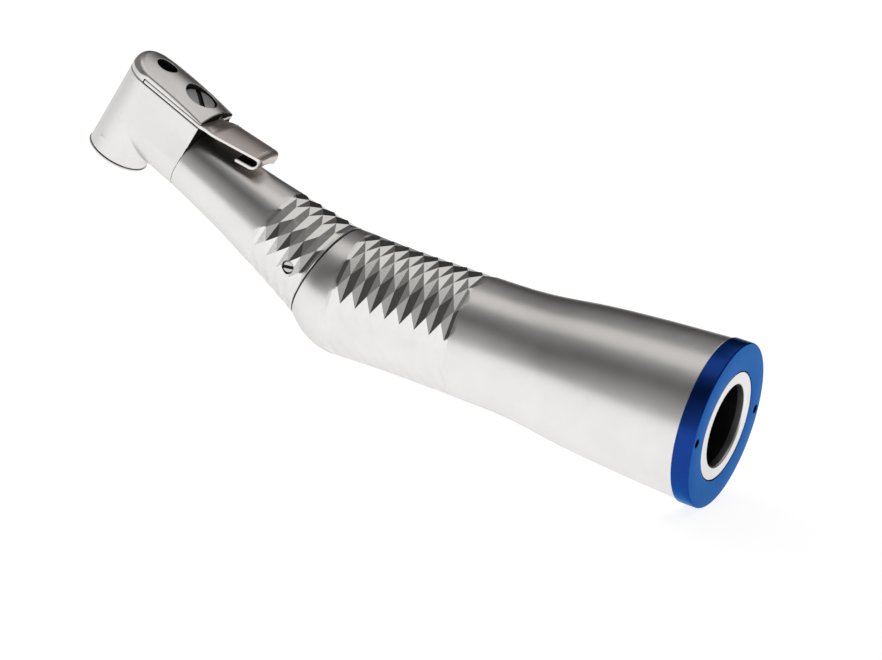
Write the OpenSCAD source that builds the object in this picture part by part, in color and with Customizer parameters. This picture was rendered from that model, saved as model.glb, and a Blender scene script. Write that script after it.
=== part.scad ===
// Contra angle dental handpiece: a 21 degree bent casing with two geared shafts, a bur spindle and a swing latch.
// The origin is the centre of the motor socket's mouth, +X points out of the socket and the neck bends up to +Z.

/* [Casing] */
// Outer diameter of the rear ring
ring_d = 20; // [19.8:0.1:20.4]
// Distance from the socket mouth to the point where the two shaft axes cross
elbow_x = 49; // [49:0.5:54]
// Angle between the body axis and the neck axis
bend_angle = 21; // [18:0.5:23]
// Distance from the crossing point to the bur axis, along the neck
neck_reach = 35.7; // [35.7:0.1:37]

/* [Head] */
// Outer diameter of the head
head_d = 7.7; // [7.6:0.1:8]
// Diameter of the bur shank bore
bur_bore_d = 2.36; // [2.35:0.01:2.38]
// Height of the back cap's crown above the neck axis
cap_top = 7.5; // [7.4:0.05:7.7]

/* [Motor coupling] */
// Diameter of the bore that takes the motor nose
socket_bore_d = 10; // [9.9:0.05:10.1]
// Depth of that bore
socket_depth = 20; // [19:0.5:20]
// Travel of the sprung dog
dog_travel = 2; // [1:0.25:2]

/* [Gears] */
// Teeth of each bend gear
bend_teeth = 24; // [20:2:24]
// Teeth of each mitre gear in the head
mitre_teeth = 12; // [12:2:14]

/* [Latch] */
// Width of the lever's finger tab at its end
tab_end_w = 5.2; // [4.4:0.2:5.6]
// Upward tilt of the finger tab
tab_tilt = 5.5; // [4:0.5:6.5]

/* [Hidden] */

$fn = 64;
cut = 0.1; // how far a cutting tool runs past the face it opens
gap = 0.02; // clearance between a ball and its race

// Body: all x positions are measured forward from the socket mouth
ring_l = 2.2;
socket_r = socket_bore_d / 2;
socket_wall_r = 6.58;
body_bore_r = 6.6;
socket_end = 26.8;
cartridge_r = 5.3;
cartridge_bore_r = 4.2;
cartridge_start = 28;
cartridge_end = elbow_x - 2.7;
body_stations = [[ring_l, ring_d / 2 - 0.15], [10, ring_d / 2 - 0.6], [18, ring_d / 2 - 1.28],
    [25, ring_d / 2 - 2.28], [29, ring_d / 2 - 2.45], [elbow_x - 6, ring_d / 2 - 2.5], [elbow_x, ring_d / 2 - 2.1]];
elbow_r = ring_d / 2 - 2.1;
oring_x = 9;
oring_r = 0.38;

// Neck: all u positions are measured along the neck axis from the crossing point
seam_u = 4.4;
seal_t = 0.25;
neck_start = seam_u + seal_t;
seam_r = 6.6;
tail_start = 0.9;
tail_r = 5.35;
tail_bore_r = 4.6;
neck_pocket_r = 3.9;
neck_pocket_u = [2.6, 8];
neck_bore_r = 2.6;
collar_back = 9.05; // back from the bur axis to the housing's rear face
collar_u = neck_reach - collar_back;
spigot_l = 3;
spigot_r = 3.3;
neck_stations = [[neck_start, seam_r - 0.05], [11.5, 5.5], [18.5, 4.6], [collar_u - 2, 4.15], [collar_u, 4.05]];
set_screw_u = 7.2;
set_screw_r = 0.8;

// Head: z is measured from the neck axis, away from the bur
head_r = head_d / 2;
chamber_r = 3.2;
barrel_bottom = -5.65;
bezel_bottom = -6.0;
housing_top = 5.45;
plate_t = 0.5;
cap_bottom = housing_top + plate_t;
crown_r = 8.4; // across the head
crown_rear_slope = 2.6;
crown_front_slope = 2;
crown_back = 1.2; // highest point, back from the bur axis
pivot_back = 5.8;
pivot_shoulder_r = 1.1;
screw_r = 0.8;
screw_head_r = 2.05;
counterbore_z = 0.3; // height of the screw's counterbore above the cap's underside
washer_t = 0.15;
nose_arc_r = 7; // radius about the pivot of the lever's nose
tube_r = 1.6;
tube_top = 5.2;
race_clear_r = 2.35; // keeps the retainer and the front ring off the turning inner races
seat_l = 1.4; // length of the D seat at the tube's top
bur_r = bur_bore_d / 2;
relief_r = bur_r + 0.18; // the D seat's round side and the cap's hole stand clear of the shank
latch_open = 16;
lever_play = 0.02;
lever_t = plate_t - 2 * lever_play;
hem_r = 0.9;
tab_root = 10.45; // back from the bur axis to where the tab's taper starts
tab_root_w = 6;
relief_y = 1.6; // side of the tab's root that is cut back behind the housing

tab_end = 17.6; // back from the bur axis to the end of the hem

// Shafts and gears
front_shaft_r = 1;
rear_shaft_r = 1.2;
bend_cone = 90 - bend_angle / 2;
bend_in = 3.1;
bend_out = 4.35;
bend_back = 2.1;
mitre_in = 2.7;
mitre_out = 3.85;
mitre_back = 3.1;

// Bearings: [outer radius, bore radius, width, ball radius, ball count]
head_bearing = [chamber_r, tube_r, 1.7, 0.4, 11];
neck_front_bearing = [neck_bore_r, front_shaft_r, 1.8, 0.42, 8];
neck_rear_bearing = [neck_pocket_r, front_shaft_r, 2.3, 0.75, 7];
body_bearing = [cartridge_bore_r, rear_shaft_r, 2.4, 0.8, 7];
lower_bearing_z = -4.95;
upper_bearing_z = 3.2;
neck_front_bearing_u = collar_u - 2.6;
neck_rear_bearing_u = 3.05;
body_front_bearing_x = cartridge_end - 0.3; // forward face of the bearing
body_rear_bearing_x = 31.4;

// Dog: x positions forward from the socket mouth
dog_front = 25.9;
dog_rear = socket_depth + 0.3;
dog_r = 3;
pin_x = 24.6;
pin_r = 0.4;
shaft_rear = 21.6;
spring_wire_r = 0.2;
spring_r = 1.75;
spring_turns = 4.5;
spring_front = body_rear_bearing_x - body_bearing[2];

// Frames ------------------------------------------------------------------

// Z along the body axis towards the motor, X down
module body_frame() {
    rotate([0, 90, 0]) children();
}

// Z along the body axis towards the neck, measured from the socket mouth
module forward_frame() {
    rotate([0, -90, 0]) children();
}

// Z along the neck away from the crossing point, X up
module neck_frame() {
    translate([-elbow_x, 0, 0]) rotate([0, bend_angle - 90, 0]) children();
}

// Z along the bur axis away from the bur, X back along the neck
module head_frame() {
    neck_frame() translate([0, 0, neck_reach]) rotate([0, 90, 0]) children();
}

// Shapes that repeat --------------------------------------------------------

module ring(outer, inner, height) {
    difference() {
        cylinder(r = outer, h = height);
        translate([0, 0, -cut]) cylinder(r = inner, h = height + 2 * cut);
    }
}

// Radius at position p along a list of [position, radius] stations, eased from each station to the next
function eased(s, p, i = 0) =
    (i >= len(s) - 2 || p <= s[i + 1][0])
        ? s[i][1] + (s[i + 1][1] - s[i][1]) * (p - s[i][0]) / (s[i + 1][0] - s[i][0])
        : eased(s, p, i + 1);

// Mean of nearby values, which rounds the corners of the straight runs between stations
function smooth_r(s, p, reach = 2.5) =
    let (lo = s[0][0], hi = s[len(s) - 1][0], w = min(reach, p - lo, hi - p))
    w <= 0 ? eased(s, p) : (eased(s, p - w) + 2 * eased(s, p) + eased(s, p + w)) / 4;

module turned(stations, steps) {
    lo = stations[0][0];
    hi = stations[len(stations) - 1][0];
    rotate_extrude()
        polygon(concat(
            [[0, lo]],
            [for (i = [0:steps]) let (p = lo + (hi - lo) * i / steps) [smooth_r(stations, p), p]],
            [[0, hi]]));
}

function ball_circle(b) = (b[0] + b[1]) / 2;

module bearing_outer(b) {
    difference() {
        ring(b[0], ball_circle(b) + b[3] / 2, b[2]);
        translate([0, 0, b[2] / 2])
            rotate_extrude() translate([ball_circle(b), 0]) circle(r = b[3] + gap);
    }
}

module bearing_inner(b) {
    difference() {
        ring(ball_circle(b) - b[3] / 2, b[1], b[2]);
        translate([0, 0, b[2] / 2])
            rotate_extrude() translate([ball_circle(b), 0]) circle(r = b[3] + gap);
    }
}

module bearing_balls(b) {
    for (i = [1:b[4]])
        rotate([0, 0, 360 * i / b[4]]) translate([ball_circle(b), 0, b[2] / 2]) sphere(r = b[3]);
}

// Bevel gear with its cone's apex at the origin and its teeth facing the apex side
module bevel_gear(cone, teeth, inner, outer, back, bore, root_w, tip_w) {
    addendum = 0.2;
    dedendum = 0.3;
    bite = 0.15; // how far a tooth's foot sinks into the gear body
    lip = outer + 0.08; // the gear body ends just past its teeth
    front = [inner * sin(cone) - dedendum * cos(cone), inner * cos(cone) + dedendum * sin(cone)];
    rim = [lip * sin(cone) - dedendum * cos(cone), lip * cos(cone) + dedendum * sin(cone)];
    difference() {
        union() {
            rotate_extrude() polygon([[0, front[1]], front, rim, [rim[0], back], [0, back]]);
            for (i = [1:teeth])
                rotate([0, 0, 360 * i / teeth])
                    rotate([0, cone - 90, 0])
                        translate([inner, 0, 0])
                            rotate([90, 0, 90])
                                linear_extrude(outer - inner)
                                    polygon([[-root_w / 2, dedendum + bite], [root_w / 2, dedendum + bite],
                                        [tip_w / 2, -addendum], [-tip_w / 2, -addendum]]);
        }
        translate([0, 0, -cut]) cylinder(r = bore, h = back + 1);
    }
}

// Outline of the head from above: round at the bur, straight sides, flat at the rear
module head_outline(back) {
    circle(r = head_r);
    translate([0, -head_r]) square([back, 2 * head_r]);
}

// Head --------------------------------------------------------------------

module head_housing() {
    color("silver") head_frame() difference() {
        union() {
            translate([0, 0, barrel_bottom]) cylinder(r = head_r, h = housing_top - barrel_bottom);
            linear_extrude(housing_top) head_outline(collar_back);
            rotate([0, 90, 0]) cylinder(r1 = head_r, r2 = 4.05, h = collar_back);
            rotate([0, 90, 0]) cylinder(r = spigot_r, h = collar_back + spigot_l);
        }
        translate([0, 0, barrel_bottom - cut]) cylinder(r = chamber_r, h = housing_top - barrel_bottom + 2 * cut);
        rotate([0, 90, 0]) cylinder(r = 3, h = collar_back - 0.5);
        rotate([0, 90, 0]) cylinder(r = neck_bore_r, h = collar_back + spigot_l + cut);
        translate([pivot_back, 0, 3.4]) cylinder(r = screw_r, h = 3);
    }
}

module head_front_ring() {
    color("silver") head_frame() difference() {
        union() {
            translate([0, 0, bezel_bottom])
                cylinder(r1 = head_r, r2 = head_r + 0.15, h = barrel_bottom - bezel_bottom);
            translate([0, 0, barrel_bottom]) cylinder(r = chamber_r, h = lower_bearing_z - barrel_bottom);
        }
        translate([0, 0, bezel_bottom - cut]) cylinder(r = 1.9, h = 3);
        translate([0, 0, lower_bearing_z - 0.2]) cylinder(r = race_clear_r, h = 1);
    }
}

// Outline of the head from above: round at the bur, straight to the rear face
// Half of the cap's crown: a rod arched across the head that falls away from the highest point at a slope
module crown_slope(slope) {
    translate([crown_back, 0, cap_top]) rotate([0, 90 + slope, 0]) translate([crown_r, 0, -20])
        cylinder(r = crown_r, h = 40);
}

module back_cap() {
    color("silver") head_frame() difference() {
        union() {
            intersection() {
                translate([0, 0, cap_bottom]) linear_extrude(cap_top - cap_bottom) head_outline(collar_back);
                crown_slope(crown_rear_slope);
                crown_slope(-crown_front_slope);
            }
            cap_skirt();
        }
        translate([0, 0, housing_top - cut]) cylinder(r = relief_r, h = 3);
        translate([pivot_back, 0, housing_top]) cylinder(r = pivot_shoulder_r + 0.02, h = 3);
        translate([pivot_back, 0, cap_bottom + counterbore_z]) cylinder(r = screw_head_r + 0.1, h = 3);
        translate([collar_back - 0.8, 0.6, cap_bottom + 0.35]) rotate([0, 90, 0]) cylinder(r = 0.25, h = 2);
    }
}

// Crescent under the cap's front that closes the lever's layer and rests on the housing
module cap_skirt() {
    translate([0, 0, housing_top]) linear_extrude(plate_t) difference() {
        circle(r = head_r);
        translate([pivot_back, 0]) circle(r = nose_arc_r + 0.1);
    }
}

// Outline of the lever from above: nose arc, straight sides and tapering finger tab with one side cut back
module lever_outline() {
    difference() {
        polygon([[-head_r, -head_r], [collar_back, -head_r], [tab_root, -tab_root_w / 2],
            [tab_end, -tab_end_w / 2], [tab_end, tab_end_w / 2], [tab_root, tab_root_w / 2],
            [tab_root - 1, relief_y], [collar_back, relief_y], [collar_back, head_r], [-head_r, head_r]]);
        difference() {
            translate([-head_r - cut, -head_r - cut]) square(2 * (head_r + cut));
            translate([pivot_back, 0]) circle(r = nose_arc_r);
        }
    }
}

// Holes of the lever: the pivot hole and the keyhole that frees the shank when the lever swings
module lever_holes() {
    notch_r = 0.75; // half the width of the groove in a latch shank
    translate([pivot_back, 0]) {
        circle(r = pivot_shoulder_r + 0.05);
        for (k = [0:3]) rotate(-latch_open * k / 4) translate([-pivot_back, 0]) circle(r = notch_r);
        rotate(-latch_open) translate([-pivot_back, 0]) circle(r = bur_r + 0.25);
    }
}

// Point p of the tilted tab, measured from the bend at the housing's rear face
function on_tab(p) =
    [collar_back + p[0] * cos(tab_tilt) - p[1] * sin(tab_tilt), p[0] * sin(tab_tilt) + p[1] * cos(tab_tilt)];

// Section of the lever along the head: flat plate, tilted tab and the hem folded back under its end
module lever_section() {
    t = lever_t;
    tab_l = tab_end - collar_back - hem_r;
    leg_l = 2.2;
    steps = 8;
    centre = [tab_l, t - hem_r];
    arc = [for (i = [0:steps]) 90 - 180 * i / steps];
    tab = concat(
        [for (angle = arc) centre + hem_r * [cos(angle), sin(angle)]],
        [[tab_l - leg_l, t - 2 * hem_r], [tab_l - leg_l, 2 * t - 2 * hem_r]],
        [for (i = [0:steps]) centre + (hem_r - t) * [cos(arc[steps - i]), sin(arc[steps - i])]]);
    polygon(concat(
        [[-head_r, 0], [-head_r, t], [collar_back - t * tan(tab_tilt / 2), t]],
        [for (p = tab) on_tab(p)],
        [[collar_back, 0]]));
}

module latch_lever() {
    color([0.66, 0.63, 0.6]) head_frame() difference() {
        intersection() {
            translate([0, head_r + 1, housing_top + lever_play])
                rotate([90, 0, 0]) linear_extrude(2 * head_r + 2) lever_section();
            linear_extrude(3 * cap_top) lever_outline();
        }
        linear_extrude(3 * cap_top) lever_holes();
    }
}

module screw_washer() {
    color("gray") head_frame() translate([pivot_back, 0, cap_bottom + counterbore_z])
        ring(screw_head_r, pivot_shoulder_r + 0.05, washer_t);
}

module pivot_screw() {
    head_z = cap_bottom + counterbore_z + washer_t;
    head_l = 0.5;
    slot_depth = 0.3;
    color("silver") head_frame() translate([pivot_back, 0, 0]) difference() {
        union() {
            translate([0, 0, 3.5]) cylinder(r = screw_r, h = housing_top - 3.5);
            translate([0, 0, housing_top]) cylinder(r = pivot_shoulder_r, h = head_z - housing_top);
            translate([0, 0, head_z]) cylinder(r = screw_head_r, h = head_l);
        }
        translate([0, 0, head_z + head_l]) rotate([0, 0, -45]) cube([6, 0.6, 2 * slot_depth], center = true);
    }
}

module head_retainer() {
    color("gray") head_frame() translate([0, 0, upper_bearing_z + head_bearing[2]])
        ring(chamber_r, race_clear_r, housing_top - upper_bearing_z - head_bearing[2]);
}

module bur_tube() {
    color("gainsboro") head_frame() difference() {
        translate([0, 0, bezel_bottom + 0.1]) cylinder(r = tube_r, h = tube_top - bezel_bottom - 0.1);
        translate([0, 0, bezel_bottom]) cylinder(r = bur_r, h = tube_top - seat_l - bezel_bottom);
        translate([0, 0, tube_top - seat_l - cut]) linear_extrude(seat_l + 2 * cut) difference() {
            circle(r = relief_r);
            translate([0.45, -2]) square([2, 4]);
        }
    }
}

module spindle_gear() {
    color("goldenrod") head_frame() rotate([0, 0, 180 / mitre_teeth])
        bevel_gear(45, mitre_teeth, mitre_in, mitre_out, mitre_back, tube_r, 0.5, 0.22);
}

module at_upper_bearing() {
    head_frame() translate([0, 0, upper_bearing_z]) children();
}

module at_lower_bearing() {
    head_frame() translate([0, 0, lower_bearing_z]) children();
}

module upper_bearing_outer() {
    color("gray") at_upper_bearing() bearing_outer(head_bearing);
}

module upper_bearing_inner() {
    color("gray") at_upper_bearing() bearing_inner(head_bearing);
}

module upper_bearing_balls() {
    color("white") at_upper_bearing() bearing_balls(head_bearing);
}

module lower_bearing_outer() {
    color("gray") at_lower_bearing() bearing_outer(head_bearing);
}

module lower_bearing_inner() {
    color("gray") at_lower_bearing() bearing_inner(head_bearing);
}

module lower_bearing_balls() {
    color("white") at_lower_bearing() bearing_balls(head_bearing);
}

// Neck --------------------------------------------------------------------

module neck_tube() {
    color("silver") neck_frame() difference() {
        union() {
            turned(neck_stations, 20);
            translate([0, 0, tail_start]) cylinder(r = tail_r, h = neck_start - tail_start + cut);
        }
        translate([0, 0, tail_start - cut]) cylinder(r = tail_bore_r, h = neck_pocket_u[0] - tail_start + cut);
        translate([0, 0, tail_start]) cylinder(r = neck_pocket_r, h = neck_pocket_u[1] - tail_start);
        translate([0, 0, tail_start]) cylinder(r = neck_bore_r, h = neck_reach);
        translate([0, 0, collar_u - spigot_l]) cylinder(r = spigot_r, h = spigot_l + cut);
        translate([0, -3, set_screw_u]) rotate([90, 0, 0]) cylinder(r = set_screw_r, h = 5);
    }
}

module neck_seal() {
    color([0.05, 0.05, 0.06]) neck_frame() translate([0, 0, seam_u]) ring(seam_r - 0.12, tail_r, seal_t);
}

module set_screw() {
    screw_l = 1.95;
    color("silver") neck_frame() translate([0, -neck_pocket_r - 0.1, set_screw_u]) rotate([90, 0, 0]) difference() {
        cylinder(r = set_screw_r - 0.02, h = screw_l);
        translate([0, 0, screw_l]) rotate([0, 0, 30]) cube([0.35, 3, 1], center = true);
    }
}

module front_drive_shaft() {
    shaft_start = 1.2;
    color("gainsboro") neck_frame() translate([0, 0, shaft_start])
        cylinder(r = front_shaft_r, h = neck_reach - 2.3 - shaft_start);
}

module front_pinion() {
    color("goldenrod") neck_frame() translate([0, 0, neck_reach]) rotate([180, 0, 0]) {
        bevel_gear(45, mitre_teeth, mitre_in, mitre_out, mitre_back, front_shaft_r, 0.5, 0.22);
        translate([0, 0, mitre_back]) ring(1.7, front_shaft_r, 3.2);
    }
}

module front_bend_gear() {
    color("goldenrod") neck_frame() rotate([0, 0, 180 / bend_teeth])
        bevel_gear(bend_cone, bend_teeth, bend_in, bend_out, bend_back, front_shaft_r, 0.42, 0.2);
}

module at_neck_front_bearing() {
    neck_frame() translate([0, 0, neck_front_bearing_u]) children();
}

module at_neck_rear_bearing() {
    neck_frame() translate([0, 0, neck_rear_bearing_u]) children();
}

module neck_front_bearing_outer() {
    color("gray") at_neck_front_bearing() bearing_outer(neck_front_bearing);
}

module neck_front_bearing_inner() {
    color("gray") at_neck_front_bearing() bearing_inner(neck_front_bearing);
}

module neck_front_bearing_balls() {
    color("white") at_neck_front_bearing() bearing_balls(neck_front_bearing);
}

module neck_rear_bearing_outer() {
    color("gray") at_neck_rear_bearing() bearing_outer(neck_rear_bearing);
}

module neck_rear_bearing_inner() {
    color("gray") at_neck_rear_bearing() bearing_inner(neck_rear_bearing);
}

module neck_rear_bearing_balls() {
    color("white") at_neck_rear_bearing() bearing_balls(neck_rear_bearing);
}

module neck_spacer() {
    spacer_u = neck_rear_bearing_u + neck_rear_bearing[2];
    color("gray") neck_frame() translate([0, 0, spacer_u]) ring(neck_pocket_r, 3.2, neck_pocket_u[1] - spacer_u);
}

module neck_circlip() {
    color("dimgray") neck_frame() translate([0, 0, neck_pocket_u[0]]) difference() {
        ring(neck_pocket_r, 3.3, neck_rear_bearing_u - neck_pocket_u[0]);
        translate([0, -0.6, -cut]) cube([5, 1.2, 1]);
    }
}

// Body --------------------------------------------------------------------

// Outside of the body: the waisted barrel, closed at the elbow by a ball whose side the neck's seam cuts flat
module body_blank() {
    steps = 32;
    arc_steps = 12;
    lo = ring_l;
    rotate_extrude()
        polygon(concat(
            [[0, lo]],
            [for (i = [0:steps - 1]) let (p = lo + (elbow_x - lo) * i / steps) [smooth_r(body_stations, p), p]],
            [for (i = [0:arc_steps]) elbow_r * [cos(90 * i / arc_steps), sin(90 * i / arc_steps)] + [0, elbow_x]]));
}

module body_sleeve() {
    size = 60;
    color("silver") difference() {
        forward_frame() body_blank();
        neck_frame() translate([-size / 2, -size / 2, seam_u]) cube(size);
        forward_frame() translate([0, 0, ring_l - cut]) cylinder(r = body_bore_r, h = cartridge_start - ring_l + cut);
        forward_frame() translate([0, 0, ring_l]) cylinder(r = cartridge_r, h = elbow_x - ring_l + 0.5);
        neck_frame() translate([0, 0, -0.5]) cylinder(r = tail_r, h = seam_u + 1);
    }
}

module shaft_cartridge() {
    flange_t = cartridge_start - socket_end;
    color("gray") forward_frame() difference() {
        union() {
            translate([0, 0, socket_end]) cylinder(r = body_bore_r, h = flange_t);
            translate([0, 0, socket_end]) cylinder(r = cartridge_r, h = cartridge_end - socket_end);
        }
        translate([0, 0, socket_end - cut]) cylinder(r = 3.4, h = 30);
        translate([0, 0, cartridge_start]) cylinder(r = cartridge_bore_r, h = 30);
    }
}

module rear_drive_shaft() {
    front = elbow_x - 1.2;
    color("gainsboro") forward_frame() difference() {
        translate([0, 0, shaft_rear]) cylinder(r = rear_shaft_r, h = front - shaft_rear);
        translate([0, 2, pin_x]) rotate([90, 0, 0]) cylinder(r = pin_r, h = 4);
    }
}

module rear_bend_gear() {
    color("goldenrod") translate([-elbow_x, 0, 0]) body_frame()
        bevel_gear(bend_cone, bend_teeth, bend_in, bend_out, bend_back, rear_shaft_r, 0.42, 0.2);
}

module at_body_front_bearing() {
    forward_frame() translate([0, 0, body_front_bearing_x - body_bearing[2]]) children();
}

module at_body_rear_bearing() {
    forward_frame() translate([0, 0, body_rear_bearing_x - body_bearing[2]]) children();
}

module body_front_bearing_outer() {
    color("gray") at_body_front_bearing() bearing_outer(body_bearing);
}

module body_front_bearing_inner() {
    color("gray") at_body_front_bearing() bearing_inner(body_bearing);
}

module body_front_bearing_balls() {
    color("white") at_body_front_bearing() bearing_balls(body_bearing);
}

module body_rear_bearing_outer() {
    color("gray") at_body_rear_bearing() bearing_outer(body_bearing);
}

module body_rear_bearing_inner() {
    color("gray") at_body_rear_bearing() bearing_inner(body_bearing);
}

module body_rear_bearing_balls() {
    color("white") at_body_rear_bearing() bearing_balls(body_bearing);
}

module cartridge_spacer() {
    spacer_l = body_front_bearing_x - body_bearing[2] - body_rear_bearing_x;
    color("dimgray") forward_frame() translate([0, 0, body_rear_bearing_x])
        ring(cartridge_bore_r, cartridge_bore_r - 0.5, spacer_l);
}

module preload_washer() {
    color("dimgray") forward_frame() translate([0, 0, body_rear_bearing_x - body_bearing[2] - 0.3])
        ring(cartridge_bore_r - 0.1, 3.3, 0.3);
}

module cartridge_ring() {
    ring_end = body_rear_bearing_x - body_bearing[2] - 0.3;
    color("gray") forward_frame() translate([0, 0, cartridge_start])
        ring(cartridge_bore_r, 2.7, ring_end - cartridge_start);
}

module coupling_dog() {
    claw_l = 1.2;
    color("lightgray") forward_frame() difference() {
        translate([0, 0, dog_rear]) cylinder(r = dog_r, h = dog_front - dog_rear);
        translate([0, 0, dog_rear - cut]) cylinder(r = rear_shaft_r + 0.05, h = dog_front - dog_rear + 2 * cut);
        translate([0, 0, dog_rear]) cube([1.8, 8, 2 * claw_l], center = true);
        hull() for (x = [pin_x, pin_x - dog_travel])
            translate([0, 4, x]) rotate([90, 0, 0]) cylinder(r = pin_r + 0.05, h = 8, $fn = 32);
    }
}

module dog_pin() {
    color("gray") forward_frame() translate([0, dog_r - 0.1, pin_x]) rotate([90, 0, 0])
        cylinder(r = pin_r, h = 2 * dog_r - 0.2);
}

// Corner j of the wire's section at ring i of the coil
function coil_point(i, j, per_turn, sides, pitch) =
    let (turn = 360 * i / per_turn, side = 360 * j / sides, reach = spring_r + spring_wire_r * cos(side))
    [reach * cos(turn), reach * sin(turn), pitch * i / per_turn + spring_wire_r * sin(side)];

module dog_spring() {
    per_turn = 16;
    sides = 6;
    rings = spring_turns * per_turn;
    length = spring_front - dog_front - 2 * spring_wire_r - 0.1;
    points = [for (i = [0:rings], j = [0:sides - 1])
        coil_point(i, j, per_turn, sides, length / spring_turns)];
    sides_faces = [for (i = [0:rings - 1], j = [0:sides - 1])
        let (a = i * sides + j, b = i * sides + (j + 1) % sides) [a, b, b + sides, a + sides]];
    first = [for (j = [0:sides - 1]) sides - 1 - j];
    last = [for (j = [0:sides - 1]) rings * sides + j];
    color("silver") forward_frame() translate([0, 0, dog_front + spring_wire_r + 0.05])
        polyhedron(points, concat(sides_faces, [first], [last]));
}

module socket_sleeve() {
    color("whitesmoke") forward_frame() difference() {
        cylinder(r = socket_wall_r, h = socket_end);
        translate([0, 0, -cut]) cylinder(r = socket_r, h = socket_depth + cut);
        translate([0, 0, socket_depth - cut]) cylinder(r = 3.6, h = 10);
        translate([0, 0, oring_x - 0.45]) ring(socket_wall_r + 1, socket_wall_r - 2 * oring_r - 0.02, 0.9);
    }
}

module socket_oring() {
    color([0.05, 0.05, 0.06]) forward_frame() translate([0, 0, oring_x])
        rotate_extrude() translate([socket_wall_r - oring_r, 0]) circle(r = oring_r);
}

module ratio_ring() {
    spanner_r = 8.8;
    color([0.08, 0.3, 0.65]) forward_frame() difference() {
        rotate_extrude() polygon([[socket_wall_r, 0.1], [socket_wall_r + 0.1, 0], [ring_d / 2 - 0.2, 0],
            [ring_d / 2, 0.2], [ring_d / 2, ring_l], [socket_wall_r, ring_l]]);
        for (side = [-1, 1])
            translate([0, side * spanner_r, -cut]) cylinder(r = 0.55, h = 1.2);
    }
}

head_housing();
head_front_ring();
back_cap();
latch_lever();
screw_washer();
pivot_screw();
bur_tube();
spindle_gear();
upper_bearing_outer();
upper_bearing_inner();
upper_bearing_balls();
lower_bearing_outer();
lower_bearing_inner();
lower_bearing_balls();
head_retainer();
neck_tube();
neck_seal();
set_screw();
front_drive_shaft();
front_pinion();
front_bend_gear();
neck_front_bearing_outer();
neck_front_bearing_inner();
neck_front_bearing_balls();
neck_rear_bearing_outer();
neck_rear_bearing_inner();
neck_rear_bearing_balls();
neck_spacer();
neck_circlip();
body_sleeve();
shaft_cartridge();
rear_drive_shaft();
rear_bend_gear();
body_front_bearing_outer();
body_front_bearing_inner();
body_front_bearing_balls();
body_rear_bearing_outer();
body_rear_bearing_inner();
body_rear_bearing_balls();
cartridge_spacer();
preload_washer();
cartridge_ring();
coupling_dog();
dog_pin();
dog_spring();
socket_sleeve();
socket_oring();
ratio_ring();
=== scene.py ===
"""Looks of the contra angle handpiece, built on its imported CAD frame.

Lengths are in millimetres unless a comment says otherwise. Axes.place() turns them into metres.
"""

import math

import bmesh
import bpy
import numpy as np
from mathutils import Matrix, Vector


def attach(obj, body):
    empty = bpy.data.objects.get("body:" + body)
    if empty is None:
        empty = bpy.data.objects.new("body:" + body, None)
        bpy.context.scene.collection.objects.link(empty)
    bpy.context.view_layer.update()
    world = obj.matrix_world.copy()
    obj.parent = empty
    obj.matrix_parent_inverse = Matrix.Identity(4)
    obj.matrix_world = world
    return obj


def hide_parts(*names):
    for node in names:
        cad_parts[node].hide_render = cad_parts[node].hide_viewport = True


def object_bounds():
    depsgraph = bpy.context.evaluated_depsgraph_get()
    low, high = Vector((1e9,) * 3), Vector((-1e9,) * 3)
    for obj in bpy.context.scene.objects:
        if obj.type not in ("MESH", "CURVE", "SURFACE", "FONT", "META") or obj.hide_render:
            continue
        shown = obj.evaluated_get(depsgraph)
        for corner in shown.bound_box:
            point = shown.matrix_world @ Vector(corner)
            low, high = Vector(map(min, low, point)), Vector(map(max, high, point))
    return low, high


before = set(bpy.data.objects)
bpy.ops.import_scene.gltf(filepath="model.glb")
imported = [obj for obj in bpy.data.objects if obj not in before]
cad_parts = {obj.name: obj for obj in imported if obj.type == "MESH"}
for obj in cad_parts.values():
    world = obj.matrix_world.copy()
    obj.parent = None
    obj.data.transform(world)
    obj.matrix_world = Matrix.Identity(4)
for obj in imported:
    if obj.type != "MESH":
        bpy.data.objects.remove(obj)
cad_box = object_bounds()

MM = 0.001

# Dimensions that are the CAD part's ------------------------------------------------------

BEND = math.radians(21)
ELBOW_X = 49.0
NECK_REACH = 35.7
RING_L = 2.2
RING_R = 10.0
SOCKET_R = 5.0
SOCKET_DEPTH = 20.0
SOCKET_END = 26.8
SLEEVE_R = 6.58
BODY_BORE_R = 6.6
CARTRIDGE_START = 28.0
CARTRIDGE_R = 5.3
SEAM_U = 4.4
NECK_START = 4.65
TAIL_START = 0.9
TAIL_R = 5.35
HEAD_R = 3.85
CHAMBER_R = 3.2
BARREL_BOTTOM = -5.65
BEZEL_BOTTOM = -6.0
HOUSING_TOP = 5.45
CAP_BOTTOM = 5.95
CAP_TOP = 7.5
CROWN_R = 8.4
CROWN_BACK = 1.2
COLLAR_BACK = 9.05
PIVOT_BACK = 5.8
SCREW_HEAD_R = 2.05
TAB_END = 17.6
SET_SCREW_U = 7.2

# Dimensions of the visual pieces -----------------------------------------------------------
# Some are fitted closer to the photo and differ a little from the CAD part: ELBOW_R, SEAM_R,
# HEM_R, SET_SCREW_R and BODY_STATIONS.

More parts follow.
